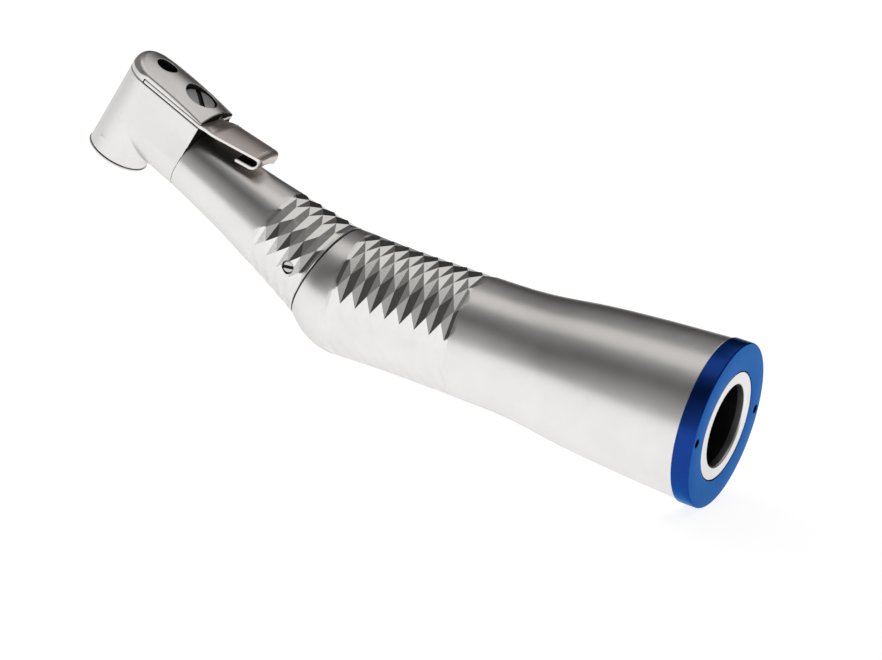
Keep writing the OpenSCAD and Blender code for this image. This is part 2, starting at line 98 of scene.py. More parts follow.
ELBOW_R = 7.62
SEAM_R = 6.56
CROWN_LONG_R = 72.0
NOSE_R = 7.0
SHEET_MIDDLE = (HOUSING_TOP + CAP_BOTTOM) / 2
CAP_HOLE_R = 1.33
COUNTERBORE_R = 2.15
SCREW_SLOT_HALF = 0.33
TAB_TILT = math.radians(7.0)
HEM_R = 0.93
SHEET_T = 0.46
BORE_LIP = 1.0
SET_SCREW_R = 0.72
SET_SCREW_HOLE_R = 0.84
SET_SCREW_TOP = 5.85
TAB_ARCH_R = 7.0
LEVER_BACK = (9.05, 9.8, 10.6, 12.1, 14.2, 16.2, 18)
LEVER_WIDTH = (HEAD_R, 3.5, 3.2, 3.0, 2.8, 2.6, 2.45)
RELIEF_BACK = (9.05, 9.1, 9.5, 10.45, 10.6)
RELIEF_WIDTH = (HEAD_R, 1.6, 1.7, 2.9, 9)

# Radius of the casing at distances along it, as (distance, radius).
BODY_STATIONS = [(RING_L, 9.83), (10, 9.38), (18, 8.72), (25, 7.7), (29, 7.53), (43, 7.45), (49, ELBOW_R)]
NECK_STATIONS = [(NECK_START, 6.55), (11.5, 5.5), (18.5, 4.6), (24.65, 4.15), (26.65, 4.05)]


class Axes:
    """An origin with a long axis, an up direction and the side that completes them, in millimetres."""

    def __init__(self, origin, along, up):
        self.origin = np.array(origin, float)
        self.along = np.array(along, float)
        self.up = np.array(up, float)
        self.side = np.cross(self.along, self.up)

    def place(self, along, up, side):
        """Points given by their distance along each axis, as metres in the CAD frame."""
        shares = ((along, self.along), (up, self.up), (side, self.side))
        parts = [np.multiply.outer(np.asarray(value, float), axis) for value, axis in shares]
        return (self.origin + sum(parts)) * MM

    def ring_points(self, along, radius, angle):
        """Points at a radius and an angle from up towards side."""
        return self.place(along, radius * np.cos(angle), radius * np.sin(angle))

    def measure(self, point):
        """Distances along, up and to the side of a point given in metres."""
        arm = np.array(point) / MM - self.origin
        return arm @ self.along, arm @ self.up, arm @ self.side


NECK_DIRECTION = np.array([-math.cos(BEND), 0, math.sin(BEND)])
NECK_UP = np.array([math.sin(BEND), 0, math.cos(BEND)])
ELBOW = np.array([-ELBOW_X, 0, 0])
BODY = Axes([0, 0, 0], [-1, 0, 0], [0, 0, 1])
NECK = Axes(ELBOW, NECK_DIRECTION, NECK_UP)
HEAD = Axes(ELBOW + NECK_REACH * NECK_DIRECTION, NECK_UP, -NECK_DIRECTION)

SET_SCREW = Axes(NECK.place(SET_SCREW_U, 0, 0) / MM, [0, -1, 0], NECK_UP)

# Mesh builders -------------------------------------------------------------------------


def piece(name, points, faces, sharp_angle=None):
    """A mesh object from points in metres, with smooth faces and sharp edges above an angle in degrees."""
    mesh = bpy.data.meshes.new(name)
    mesh.from_pydata(points.tolist(), [], faces)
    work = bmesh.new()
    work.from_mesh(mesh)
    bmesh.ops.remove_doubles(work, verts=work.verts, dist=2e-7)
    bmesh.ops.recalc_face_normals(work, faces=work.faces)
    work.to_mesh(mesh)
    work.free()
    mesh.shade_smooth()
    if sharp_angle is not None:
        mesh.set_sharp_from_angle(angle=math.radians(sharp_angle))
    obj = bpy.data.objects.new(name, mesh)
    bpy.context.scene.collection.objects.link(obj)
    return obj


def loop_faces(rows, columns, diagonal=None):
    """Faces of a grid of points that closes on itself both ways.

    diagonal(i, j) says how a face is split: 0 for not at all, 1 or -1 for one way or the other.
    """
    faces = []
    for i in range(rows):
        a, b = i * columns, (i + 1) % rows * columns
        for j in range(columns):
            k = (j + 1) % columns
            way = diagonal(i, j) if diagonal else 0
            if way == 0:
                faces.append((a + j, b + j, b + k, a + k))
            elif way > 0:
                faces += [(a + j, b + j, b + k), (a + j, b + k, a + k)]
            else:
                faces += [(a + j, b + j, a + k), (b + j, b + k, a + k)]
    return faces


def rounded(outline, steps=8):
    """A closed outline of (along, radius, rounding) corners as points, each corner turned into an arc."""
    corners = [(np.array(c[:2], float), c[2]) for c in outline]
    points = []
    for i, (corner, rounding) in enumerate(corners):
        if rounding == 0:
            points.append(corner)
            continue
        before = corners[i - 1][0] - corner
        after = corners[(i + 1) % len(corners)][0] - corner
        before, after = before / np.linalg.norm(before), after / np.linalg.norm(after)
        half = math.acos(np.clip(before @ after, -1, 1)) / 2
        reach = rounding / math.tan(half)
        centre = corner + (before + after) / np.linalg.norm(before + after) * rounding / math.sin(half)
        start, end = corner + before * reach - centre, corner + after * reach - centre
        turn = math.acos(np.clip(start @ end / rounding**2, -1, 1))
        for t in np.linspace(0, 1, steps + 1):
            arm = (math.sin((1 - t) * turn) * start + math.sin(t * turn) * end) / math.sin(turn)
            points.append(centre + arm)
    return np.array(points)


def turned(name, axes, outline, columns=128, sharp_angle=30):
    """A closed solid of revolution from an outline of (along, radius, rounding) corners."""
    points = rounded(outline)
    angle = np.linspace(0, 2 * math.pi, columns, endpoint=False)
    along = np.repeat(points[:, :1], columns, axis=1)
    radius = np.repeat(points[:, 1:], columns, axis=1)
    grid = axes.ring_points(along, radius, angle[None, :])
    return piece(name, grid.reshape(-1, 3), loop_faces(len(points), columns), sharp_angle)


def station_radius(stations, p, reach=2.5):
    """Radius at p on straight runs between stations, with the corners between the runs eased."""
    place, value = zip(*stations)
    w = np.clip(np.minimum(p - place[0], place[-1] - p), 0, reach)
    at = [np.interp(p + s * w, place, value) for s in (-1, 0, 1)]
    return (at[0] + 2 * at[1] + at[2]) / 4


class Knurl:
    """Rings of flat facets cut round a turned surface, each ring half a facet round from the last."""

    steps = 6

    def __init__(self, first, spacing, rings, facets, angle):
        self.first = first
        self.spacing = spacing
        self.rings = rings
        self.half = math.pi / facets
        self.angle = math.radians(angle)
        self.columns = 2 * facets * self.steps

    def angles(self):
        return self.angle + np.arange(self.columns) * 2 * math.pi / self.columns

    def rows(self):
        count = (self.rings + 1) * self.steps
        return self.first - self.spacing + np.arange(count + 1) * self.spacing / self.steps

    def share(self, along, angle):
        """Radius of the facets as a share of the uncut radius."""
        ring = (along - self.first) / self.spacing
        low = np.floor(ring)
        share = np.ones_like(along)
        for number in (low, low + 1):
            centre = self.angle + self.half * (number % 2)
            off = (angle - centre + self.half) % (2 * self.half) - self.half
            rise = np.abs(ring - number)
            flat = (math.cos(self.half) + rise * (1 - math.cos(self.half))) / np.cos(off)
            cut = (number >= 0) & (number < self.rings)
            share = np.where(cut, np.minimum(share, flat), share)
        return share

    def diagonal(self, along, column):
        """Which way a face of the grid is split, so that the split follows the facet edges."""
        ring = math.floor((along - self.first) / self.spacing + 1e-6)
        if ring < -1 or ring >= self.rings:
            return 0
        return 1 if (ring + column // self.steps) % 2 else -1


KNURL_SHARP = 8
BODY_KNURL = Knurl(first=33.45, spacing=0.993, rings=16, facets=13, angle=-54.8 - 180 / 13)
NECK_KNURL = Knurl(first=5.55, spacing=0.985, rings=8, facets=12, angle=-55 - 180 / 12)


def knurled_rows(axes, stations, knurl, plain_rows):
    """Grid of points over a turned surface, with the knurl's facets cut into it, and the rows' positions."""
    band = knurl.rows()
    outside = [p for p in plain_rows if p < band[0] - 0.05 or p > band[-1] + 0.05]
    along = np.array(sorted(outside + list(band)))
    along = along[(along >= plain_rows[0]) & (along <= plain_rows[-1])]
    p, angle = np.meshgrid(along, knurl.angles(), indexing="ij")
    radius = station_radius(stations, p) * knurl.share(p, angle)
    return axes.ring_points(p, radius, angle), along


def knurled_piece(name, knurl, along, rows_before, rows):
    """A closed shell from rows of points, split along the facet edges where the knurled rows are."""
    def diagonal(i, j):
        row = i - rows_before
        return knurl.diagonal(along[row], j) if 0 <= row < len(along) - 1 else 0

    points = np.concatenate(rows)
    faces = loop_faces(len(points), knurl.columns, diagonal)
    return piece(name, points.reshape(-1, 3), faces, KNURL_SHARP)


def ring_rows(axes, outline, angles):
    """Grid of points for the rings of an open outline of (along, radius) pairs."""
    points = np.array(outline, float)
    return axes.ring_points(points[:, :1], points[:, 1:], angles[None, :])


def edge_arc(along, radius, rounding, start, end, steps=6):
    """An open outline round the corner of an edge, from one angle in degrees to another."""
    turn = np.radians(np.linspace(start, end, steps + 1))
    return [(along + rounding * math.cos(t), radius + rounding * math.sin(t)) for t in turn]


# Solids from distance fields -----------------------------------------------------------


def smooth_max(a, b, reach):
    """The larger of two fields, rounded where they are closer than reach."""
    near = np.maximum(reach - np.abs(a - b), 0) / reach
    return np.maximum(a, b) + near * near * reach / 4


def smooth_min(a, b, reach):
    return -smooth_max(-a, -b, reach)


def field_piece(name, axes, field, low, high, cell):
    """A mesh over the zero surface of field(back, side, up).

    It is made by surface nets, and two steps then move its points on to the surface.
    """
    spans = [np.arange(lo, hi + cell, cell) for lo, hi in zip(low, high)]
    grid = np.meshgrid(*spans, indexing="ij")
    value = field(*grid)
    shape = np.array(value.shape) - 1
    total, count = np.zeros((*shape, 3)), np.zeros(tuple(shape))
    cut_edges = []
    for axis in range(3):
        lo_slice = [slice(None)] * 3
        hi_slice = [slice(None)] * 3
        lo_slice[axis], hi_slice[axis] = slice(0, -1), slice(1, None)
        a, b = value[tuple(lo_slice)], value[tuple(hi_slice)]
        cut = (a < 0) != (b < 0)
        where = np.argwhere(cut)
        share = a[cut] / (a[cut] - b[cut])
        crossing = where.astype(float)
        crossing[:, axis] += share
        others = [k for k in range(3) if k != axis]
        for da in (0, 1):
            for db in (0, 1):
                cell_of = where.copy()
                cell_of[:, others[0]] -= da
                cell_of[:, others[1]] -= db
                inside = np.all((cell_of >= 0) & (cell_of < shape), axis=1)
                index = tuple(cell_of[inside].T)
                np.add.at(total, index, crossing[inside])
                np.add.at(count, index, 1)
        cut_edges.append((others, where))
    active = np.argwhere(count > 0)
    number = np.full(tuple(shape), -1)
    number[tuple(active.T)] = np.arange(len(active))
    points = total[tuple(active.T)] / count[tuple(active.T)][:, None] * cell + np.array(low)
    faces = []
    for others, where in cut_edges:
        corners = []
        for da, db in ((0, 0), (1, 0), (1, 1), (0, 1)):
            cell_of = where.copy()
            cell_of[:, others[0]] -= da
            cell_of[:, others[1]] -= db
            corners.append(number[tuple(cell_of.T)])
        faces += np.stack(corners, axis=1).tolist()
    step = cell / 4
    for _ in range(2):
        here = field(*points.T)
        slope = np.stack([(field(*(points + step * axis).T) - field(*(points - step * axis).T)) / (2 * step)
                          for axis in np.eye(3)], axis=1)
        move = (here / np.maximum((slope**2).sum(axis=1), 0.2))[:, None] * slope
        points -= np.clip(move, -cell / 2, cell / 2)
    back, side, up = points.T
    return piece(name, axes.place(up, back, side), faces)


def head_outline(back, side, radius=HEAD_R):
    """Distance from the head's outline seen from above: round at the bur, straight behind."""
    return np.hypot(np.minimum(back, 0), side) - radius


# Sub-parts ------------------------------------------------------------------------------


def body_sleeve():
    knurl = BODY_KNURL
    angles = knurl.angles()
    plain = list(np.linspace(RING_L + 0.15, ELBOW_X, 60))
    rear = ring_rows(BODY, edge_arc(RING_L + 0.15, 9.68, 0.15, 180, 90), angles)
    outer, along = knurled_rows(BODY, BODY_STATIONS, knurl, plain)
    pivot_z = SEAM_U / math.sin(BEND)
    elbow = []
    for turn in np.linspace(0, BEND, 25)[1:]:
        direction = np.array([-math.cos(turn), 0, math.sin(turn)])
        upward = np.array([math.sin(turn), 0, math.cos(turn)])
        depth = pivot_z * math.sin(turn)
        fan = Axes(ELBOW + depth * direction, direction, upward)
        radius = math.sqrt(ELBOW_R**2 - (ELBOW_R**2 - SEAM_R**2) * (depth / SEAM_U) ** 2)
        elbow.append(fan.ring_points(0, radius, angles))
    seam_edge = edge_arc(SEAM_U - 0.06, SEAM_R - 0.05, 0.06, 60, 0, 3)
    seam = ring_rows(NECK, seam_edge + [(SEAM_U, TAIL_R + 0.05)], angles)
    inside = ring_rows(NECK, [(1.5, TAIL_R + 0.05)], angles)
    bore = ring_rows(BODY, [(ELBOW_X - 2.5, CARTRIDGE_R + 0.05), (CARTRIDGE_START, CARTRIDGE_R + 0.05),
                            (CARTRIDGE_START, BODY_BORE_R + 0.02), (RING_L, BODY_BORE_R + 0.02)], angles)
    rows = [rear, outer, np.array(elbow), seam, inside, bore]
    return knurled_piece("body_shell", knurl, along, len(rear), rows)


def neck_tube():
    knurl = NECK_KNURL
    angles = knurl.angles()
    plain = list(np.linspace(NECK_START + 0.05, NECK_STATIONS[-1][0] - 0.03, 40))
    rear = ring_rows(NECK, [(NECK_START, 6.45)], angles)
    outer, along = knurled_rows(NECK, NECK_STATIONS, knurl, plain)
    front_u = NECK_STATIONS[-1][0]
    ends = ring_rows(NECK, [(front_u, 4.0), (front_u, 3.32), (front_u - 3, 3.32), (front_u - 3, 2.62),
                            (8, 2.62), (8, 3.92), (TAIL_START, 4.6), (TAIL_START, TAIL_R),
                            (NECK_START - 0.3, TAIL_R), (NECK_START, TAIL_R + 0.3)], angles)
    neck = knurled_piece("neck_shell", knurl, along, len(rear), [rear, outer, ends])
    outward = Vector((0, -1, 0))
    mouth = Vector(NECK.place(SET_SCREW_U, 0, 0)) + Vector((0, -6.5 * MM, 0))
    drill(neck, mouth, outward, SET_SCREW_HOLE_R * MM, 2.3 * MM, KNURL_SHARP)
    return neck


def head_housing():
    fillet = 1.1

    def field(back, side, up):
        barrel = np.hypot(back, side) - HEAD_R
        low = np.minimum(up, 0)
        swell = 0.2 * np.clip(back / COLLAR_BACK, 0, 1) * np.clip(1 - up / 3, 0, 1)
        neck = smooth_max(np.hypot(side, low) - HEAD_R - swell, -back, 0.02)
        crease = np.clip(1 - (up / HEAD_R) ** 2, 0, 1)
        reach = np.where(up < 0, 4 * fillet * (1 / np.sqrt((1 + crease) / 2) - 1), 0) + 1e-3
        solid = smooth_min(barrel, neck, reach)
        for limit in (up - HOUSING_TOP + 0.03, BARREL_BOTTOM + 0.03 - up, back - COLLAR_BACK + 0.02):
            solid = smooth_max(solid, limit, 0.12)
        chamber = np.hypot(back, side) - CHAMBER_R - 0.02
        tunnel = np.maximum(np.hypot(side, up) - 3.0, -back)
        return np.maximum(solid, -np.minimum(chamber, tunnel))

    return field_piece("head_housing_shell", HEAD, field, (-4.2, -4.3, -6.0), (9.5, 4.3, 5.8), 0.09)


def back_cap():
    def field(back, side, up):
        crest = CAP_TOP - (back - CROWN_BACK) ** 2 / (2 * CROWN_LONG_R)
        crown = np.hypot(side, up - crest + CROWN_R) - CROWN_R
        outline = head_outline(back, side)
        top = smooth_max(crown, outline, 0.2 + 1.3 * np.clip(-back / HEAD_R, 0, 1))
        top = smooth_max(top, CAP_BOTTOM + 0.01 - up, 0.08)
        top = smooth_max(top, back - COLLAR_BACK, 0.16)
        skirt = np.maximum(outline, NOSE_R + 0.12 - np.hypot(back - PIVOT_BACK, side))
        skirt = smooth_max(skirt, HOUSING_TOP + 0.02 - up, 0.08)
        skirt = np.maximum(skirt, up - CAP_BOTTOM - 0.2)
        solid = np.minimum(top, skirt)
        hole = np.hypot(back, side) - CAP_HOLE_R
        shoulder = np.hypot(back - PIVOT_BACK, side) - 1.12
        counterbore = np.maximum(np.hypot(back - PIVOT_BACK, side) - COUNTERBORE_R, CAP_BOTTOM + 0.3 - up)
        vent = np.maximum(np.hypot(side - 0.6, up - CAP_BOTTOM - 0.35) - 0.25, COLLAR_BACK - 0.8 - back)
        for hollow, edge in ((hole, 0.12), (shoulder, 0.02), (counterbore, 0.1), (vent, 0.06)):
            solid = smooth_max(solid, -hollow, edge)
        return solid

    return field_piece("back_cap_shell", HEAD, field, (-4.1, -4.1, 5.3), (9.4, 4.1, 7.5), 0.07)


def lever_path():
    """Middle line of the lever's sheet as (back, up) points: plate, tab, hem and lower leg."""
    along = np.array([math.cos(TAB_TILT), math.sin(TAB_TILT)])
    across = np.array([-along[1], along[0]])
    start = np.array([COLLAR_BACK + 1.5, SHEET_MIDDLE - 0.1])
    bend_r = HEM_R - SHEET_T / 2
    centre = start + (TAB_END - start[0] - HEM_R) * along - bend_r * across
    turns = np.linspace(0, math.pi, 13)
    arc = [centre + bend_r * (math.cos(t) * across + math.sin(t) * along) for t in turns]
    plate = [np.array([-3, SHEET_MIDDLE]), np.array([COLLAR_BACK + 0.6, SHEET_MIDDLE])]
    return [*plate, start, *arc, arc[-1] - 2.0 * along]


def latch_lever():
    path = lever_path()

    def sheet(back, up):
        best = np.full(back.shape, 1e9)
        for a, b in zip(path[:-1], path[1:]):
            run = b - a
            t = np.clip(((back - a[0]) * run[0] + (up - a[1]) * run[1]) / (run @ run), 0, 1)
            best = np.minimum(best, np.hypot(back - a[0] - t * run[0], up - a[1] - t * run[1]))
        return best - SHEET_T / 2

    def field(back, side, up):
        width = np.interp(back, LEVER_BACK, LEVER_WIDTH)
        far_width = np.minimum(width, np.interp(back, RELIEF_BACK, RELIEF_WIDTH))
        half = np.where(side > 0, far_width, width)
        past_corner = np.maximum(back - TAB_END + 1.0, 0), np.maximum(np.abs(side) - half + 1.0, 0)
        corner = np.hypot(*past_corner) - 1.0
        sides = np.where(back > TAB_END - 2, np.maximum(np.abs(side) - half, corner), np.abs(side) - half)
        nose = np.hypot(back - PIVOT_BACK, side) - NOSE_R
        plan = np.where(back < 3, np.maximum(sides, nose), sides)
        formed = np.clip((back - COLLAR_BACK - 0.3) / 2, 0, 1)
        formed = formed * formed * (3 - 2 * formed)
        arch = np.sqrt(TAB_ARCH_R**2 - np.minimum(side**2, 9)) - math.sqrt(TAB_ARCH_R**2 - 9)
        solid = smooth_max(sheet(back, up - formed * arch), plan, 0.12)
        pivot = np.hypot(back - PIVOT_BACK, side) - 1.15
        keyhole = np.full(back.shape, 1e9)
        for turn in np.radians([0, 4, 8, 12]):
            across = side + PIVOT_BACK * math.sin(turn)
            keyhole = np.minimum(keyhole, np.hypot(back - PIVOT_BACK * (1 - math.cos(turn)), across) - 0.75)
        return smooth_max(solid, -np.minimum(pivot, keyhole), 0.06)

    return field_piece("latch_lever_sheet", HEAD, field, (-1.6, -4.1, 4.2), (18.0, 4.1, 7.4), 0.06)


def slot_offset(back, side):
    """Distance from the middle of the pivot screw's slot, which lies at 45 degrees."""
    return -(back - PIVOT_BACK + side) / math.sqrt(2)


def pivot_screw():
    head_bottom, head_top = CAP_BOTTOM + 0.45, CAP_BOTTOM + 0.95

    def field(back, side, up):
        reach = np.hypot(back - PIVOT_BACK, side)
        head = smooth_max(reach - SCREW_HEAD_R, up - head_top + 0.012 * reach**2, 0.16)
        head = smooth_max(head, head_bottom - up, 0.06)
        stem = np.maximum(np.maximum(reach - 1.1, up - head_bottom - 0.1), HOUSING_TOP - up)
        slot = smooth_max(np.abs(slot_offset(back, side)) - SCREW_SLOT_HALF, head_top - 0.35 - up, 0.04)
        return smooth_max(np.minimum(head, stem), -slot, 0.08)

    return field_piece("pivot_screw_head", HEAD, field, (3.6, -2.3, 5.3), (8.0, 2.3, 7.1), 0.05)


def head_front_ring():
    return turned("head_front_ring_bezel", HEAD, [
        (BEZEL_BOTTOM, 1.9, 0.05), (BEZEL_BOTTOM, HEAD_R - 0.02, 0.1),
        (BARREL_BOTTOM - 0.05, HEAD_R + 0.12, 0.06), (BARREL_BOTTOM - 0.06, CHAMBER_R, 0),
        (-4.97, CHAMBER_R, 0), (-4.97, 2.36, 0), (-5.15, 2.36, 0), (-5.15, 1.9, 0)])


def neck_seal():
    return turned("neck_seal_band", NECK, [
        (SEAM_U + 0.01, TAIL_R + 0.01, 0), (SEAM_U + 0.01, 6.42, 0.05), (NECK_START - 0.01, 6.42, 0.05),
        (NECK_START - 0.01, TAIL_R + 0.01, 0)])


def set_screw():
    """Grub screw in the neck's side, with its slot, on an axis of its own."""
    def field(back, side, up):
        reach = np.hypot(back, side)
        body = smooth_max(reach - SET_SCREW_R, up - SET_SCREW_TOP, 0.14)
        body = smooth_max(body, 4.05 - up, 0.05)
        turn = math.radians(28)
        across = np.abs(back * math.cos(turn) + side * math.sin(turn))
        slot = smooth_max(across - 0.17, SET_SCREW_TOP - 0.4 - up, 0.04)
        return smooth_max(body, -slot, 0.06)

    return field_piece("set_screw_plug", SET_SCREW, field, (-0.95, -0.95, 3.9), (0.95, 0.95, 6.1), 0.045)


def ratio_ring():
    ring = turned("ratio_ring_band", BODY, [
        (0.0, SLEEVE_R + 0.07, 0.08), (0.0, RING_R, 0.22), (RING_L - 0.03, RING_R, 0.06),
        (RING_L - 0.03, SLEEVE_R + 0.04, 0)], columns=192)
    for side in (-1, 1):
        drill(ring, Vector((0, side * 8.8 * MM, 0)), Vector((1, 0, 0)), 0.55 * MM, 1.1 * MM)
    return ring


def drill(target, mouth, axis, radius, depth, sharp=30):
    """Cuts a round blind hole into a piece. The mouth, axis, radius and depth are in metres."""
    work = bmesh.new()
    bmesh.ops.create_cone(work, cap_ends=True, segments=48, radius1=radius, radius2=radius, depth=2 * depth)
    work.transform(Matrix.Translation(mouth) @ axis.to_track_quat("Z", "Y").to_matrix().to_4x4())
    mesh = bpy.data.meshes.new("drill")
    work.to_mesh(mesh)
    work.free()
    tool = bpy.data.objects.new("drill", mesh)
    bpy.context.scene.collection.objects.link(tool)
    cut = target.modifiers.new("drill", "BOOLEAN")
    cut.operation = "DIFFERENCE"
    cut.solver = "EXACT"
    cut.object = tool
    bpy.context.view_layer.update()
    graph = bpy.context.evaluated_depsgraph_get()
    result = bpy.data.meshes.new_from_object(target.evaluated_get(graph))
    target.modifiers.remove(cut)
    target.data = result
    bpy.data.objects.remove(tool)
    result.set_sharp_from_angle(angle=math.radians(sharp))


def socket_sleeve():
    """The sleeve that takes the motor nose; darken_bore paints shade on the wall and floor of its bore."""
    return turned("socket_sleeve_liner", BODY, [
        (0.02, SOCKET_R, 0.25), (0.02, SLEEVE_R - 0.04, 0.1), (8.5, SLEEVE_R, 0),
        (8.5, 5.8, 0), (9.5, 5.8, 0), (9.5, SLEEVE_R, 0),
        (SOCKET_END, SLEEVE_R, 0), (SOCKET_END, 3.6, 0), (SOCKET_DEPTH, 3.6, 0.1),
        (SOCKET_DEPTH, SOCKET_R, 0), (BORE_LIP, SOCKET_R, 0)], columns=160)


# Materials ------------------------------------------------------------------------------


class Nodes:
    """A material's node tree, with short calls to add and join nodes."""

    def __init__(self, name):
        self.material = bpy.data.materials.new(name)
        self.material.use_nodes = True
        self.tree = self.material.node_tree
        self.shader = self.tree.nodes["Principled BSDF"]

    def add(self, kind, settings=(), **inputs):
        node = self.tree.nodes.new(kind)
        for key, value in dict(settings).items():
            setattr(node, key, value)
        for key, value in inputs.items():
            self.join(value, node.inputs[key.replace("_", " ")])
        return node

    def join(self, value, target):
        if isinstance(value, bpy.types.NodeSocket):
            self.tree.links.new(value, target)
        else:
            target.default_value = value

    def position(self, stretch=(1, 1, 1)):
        """Object coordinates in millimetres, stretched along the axes."""
        coordinates = self.add("ShaderNodeTexCoord")
        scale = self.add("ShaderNodeMapping", Scale=tuple(1000 * s for s in stretch))
        self.join(coordinates.outputs["Object"], scale.inputs["Vector"])
        return scale.outputs["Vector"]

    def noise(self, size, detail=3, stretch=(1, 1, 1)):
        """Noise whose features are about size millimetres across."""
        texture = self.add("ShaderNodeTexNoise", Scale=1 / size, Detail=detail, Roughness=0.6)
        self.join(self.position(stretch), texture.inputs["Vector"])
        return texture.outputs["Fac"]

    def remap(self, value, low, high, to_low, to_high):
        node = self.add("ShaderNodeMapRange")
        names = ("Value", "From Min", "From Max", "To Min", "To Max")
        for key, setting in zip(names, (value, low, high, to_low, to_high)):
            self.join(setting, node.inputs[key])
        return node.outputs["Result"]

    def mix(self, share, first, second):
        node = self.add("ShaderNodeMix", {"data_type": "RGBA"})
        self.join(share, node.inputs["Factor"])
        self.join(first, node.inputs["A"])
        self.join(second, node.inputs["B"])
        return node.outputs["Result"]

    def sum(self, first, second, operation="ADD"):
        node = self.add("ShaderNodeMath", {"operation": operation})
        self.join(first, node.inputs[0])
        self.join(second, node.inputs[1])
        return node.outputs["Value"]


def shade(colour, share):
    """A colour made lighter or darker, with alpha."""
    return (*[min(c * share, 1) for c in colour], 1)


def metal(name, colour, roughness, grain=0.12, streak=(1, 1, 1), edge_wear_and_highlight=0.2, rim=(0.78, 0.78, 0.78)):
    """Satin or turned metal with fine grain, soft clouds of tone, faint marks and brighter edges, partly
    wear and partly a painted highlight.
    """
    nodes = Nodes(name)
    clouds = nodes.noise(6, 3)
    fine = nodes.noise(grain, 2, streak)
    marks = nodes.noise(1.6, 5)
    tone = nodes.mix(nodes.remap(clouds, 0.35, 0.65, 0, 1), shade(colour, 0.975), shade(colour, 1.02))
    smudge = nodes.remap(marks, 0.58, 0.72, 0, 0.12)
    tone = nodes.mix(smudge, tone, shade(colour, 0.88))
    # Brighter edges where the surface is pointy: partly wear, partly a painted highlight in place of the
    # glint of rounded edges.
    edge = nodes.add("ShaderNodeNewGeometry").outputs["Pointiness"]
    wear_and_highlight = nodes.remap(edge, 0.52, 0.6, 0, edge_wear_and_highlight)
    tone = nodes.mix(wear_and_highlight, tone, shade(colour, 1.2))
    fine_rough = nodes.remap(fine, 0.3, 0.7, -0.02, 0.02)
    rough = nodes.sum(fine_rough, nodes.remap(clouds, 0.3, 0.7, -0.02, 0.02))
    rough = nodes.sum(rough, nodes.remap(marks, 0.55, 0.75, 0, 0.04))
    rough = nodes.sum(rough, roughness)
    bump = nodes.add("ShaderNodeBump", Strength=0.05, Distance=0.01 * MM, Height=fine)
    shader = nodes.shader.inputs
    nodes.join(tone, shader["Base Color"])
    nodes.join(rough, shader["Roughness"])
    nodes.join(bump.outputs["Normal"], shader["Normal"])
    shader["Metallic"].default_value = 1
    shader["Specular Tint"].default_value = (*rim, 1)
    return nodes.material


def rubber(name, colour):
    nodes = Nodes(name)
    fine = nodes.noise(0.15, 3)
    nodes.join(nodes.mix(fine, shade(colour, 0.7), shade(colour, 1.4)), nodes.shader.inputs["Base Color"])
    nodes.join(nodes.remap(fine, 0.3, 0.7, 0.5, 0.7), nodes.shader.inputs["Roughness"])
    bump = nodes.add("ShaderNodeBump", Strength=0.2, Distance=0.02 * MM, Height=fine)
    nodes.join(bump.outputs["Normal"], nodes.shader.inputs["Normal"])
    return nodes.material


MATERIALS = {
    "satin_casing": metal("satin_casing", (0.82, 0.81, 0.795), 0.32),
    "facet_casing": metal("facet_casing", (0.81, 0.8, 0.785), 0.13, grain=0.35, edge_wear_and_highlight=0.3),
    "lever_steel": metal("lever_steel", (0.66, 0.6, 0.565), 0.38, streak=(0.3, 2, 1)),
    # Painted highlight: a lighter tone for the lever's cut edges.
    "painted_edge_highlight": metal("painted_edge_highlight", (0.86, 0.83, 0.81), 0.35),
    # Painted shade: near black, for the lever's inner side and for slots, holes and rear faces.
    "painted_shade_black": metal("painted_shade_black", (0.06, 0.055, 0.05), 0.5, rim=(0.1, 0.1, 0.1)),
    "screw_steel": metal("screw_steel", (0.6, 0.6, 0.62), 0.34, grain=0.2),
    "shaft_steel": metal("shaft_steel", (0.62, 0.62, 0.63), 0.25, streak=(6, 1, 1)),
    "gear_brass": metal("gear_brass", (0.72, 0.55, 0.28), 0.3),
    "pale_sleeve": metal("pale_sleeve", (0.88, 0.87, 0.85), 0.35),
    # Painted shade: near black for the socket's bore deeper in.
    "painted_bore_shade": metal("painted_bore_shade", (0.1, 0.1, 0.105), 0.32, streak=(4, 1, 1), edge_wear_and_highlight=0.1,
                       rim=(0.15, 0.15, 0.15)),
    "blue_ring": metal("blue_ring", (0.012, 0.052, 0.28), 0.27, edge_wear_and_highlight=0.1, rim=(0.5, 0.75, 1.0)),
    "black_seal": rubber("black_seal", (0.012, 0.012, 0.014)),
    "spacer_alloy": metal("spacer_alloy", (0.5, 0.5, 0.52), 0.34),
    "bearing_race": metal("bearing_race", (0.6, 0.6, 0.62), 0.18, grain=0.3),
    "bearing_balls": metal("bearing_balls", (0.75, 0.75, 0.77), 0.1, grain=0.3),
}


# Facing of a face towards an axis, as a cosine, above which it counts as turned that way.
FACES_REAR = 0.8
FACES_SIDE = 0.55
HEM_LENGTH = 3.4


def finish_with(obj, slot):
    obj.data.materials.clear()
    obj.data.materials.append(MATERIALS[slot])


def add_finishes(shell, *names):
    """Adds second finishes to a shell. The first of them gets material index 1."""
    for name in names:
        shell.data.materials.append(MATERIALS[name])


def polish_facets(shell, axes, knurl, inside):
    """Gives the cut facets of a knurled shell the finer finish that the cutter leaves."""
    add_finishes(shell, "facet_casing")
    start, end = knurl.first - 0.5 * knurl.spacing, knurl.first + (knurl.rings - 0.5) * knurl.spacing
    for face in shell.data.polygons:
        along, up, side = axes.measure(face.center)
        face.material_index = int(math.hypot(up, side) > inside and start < along < end)


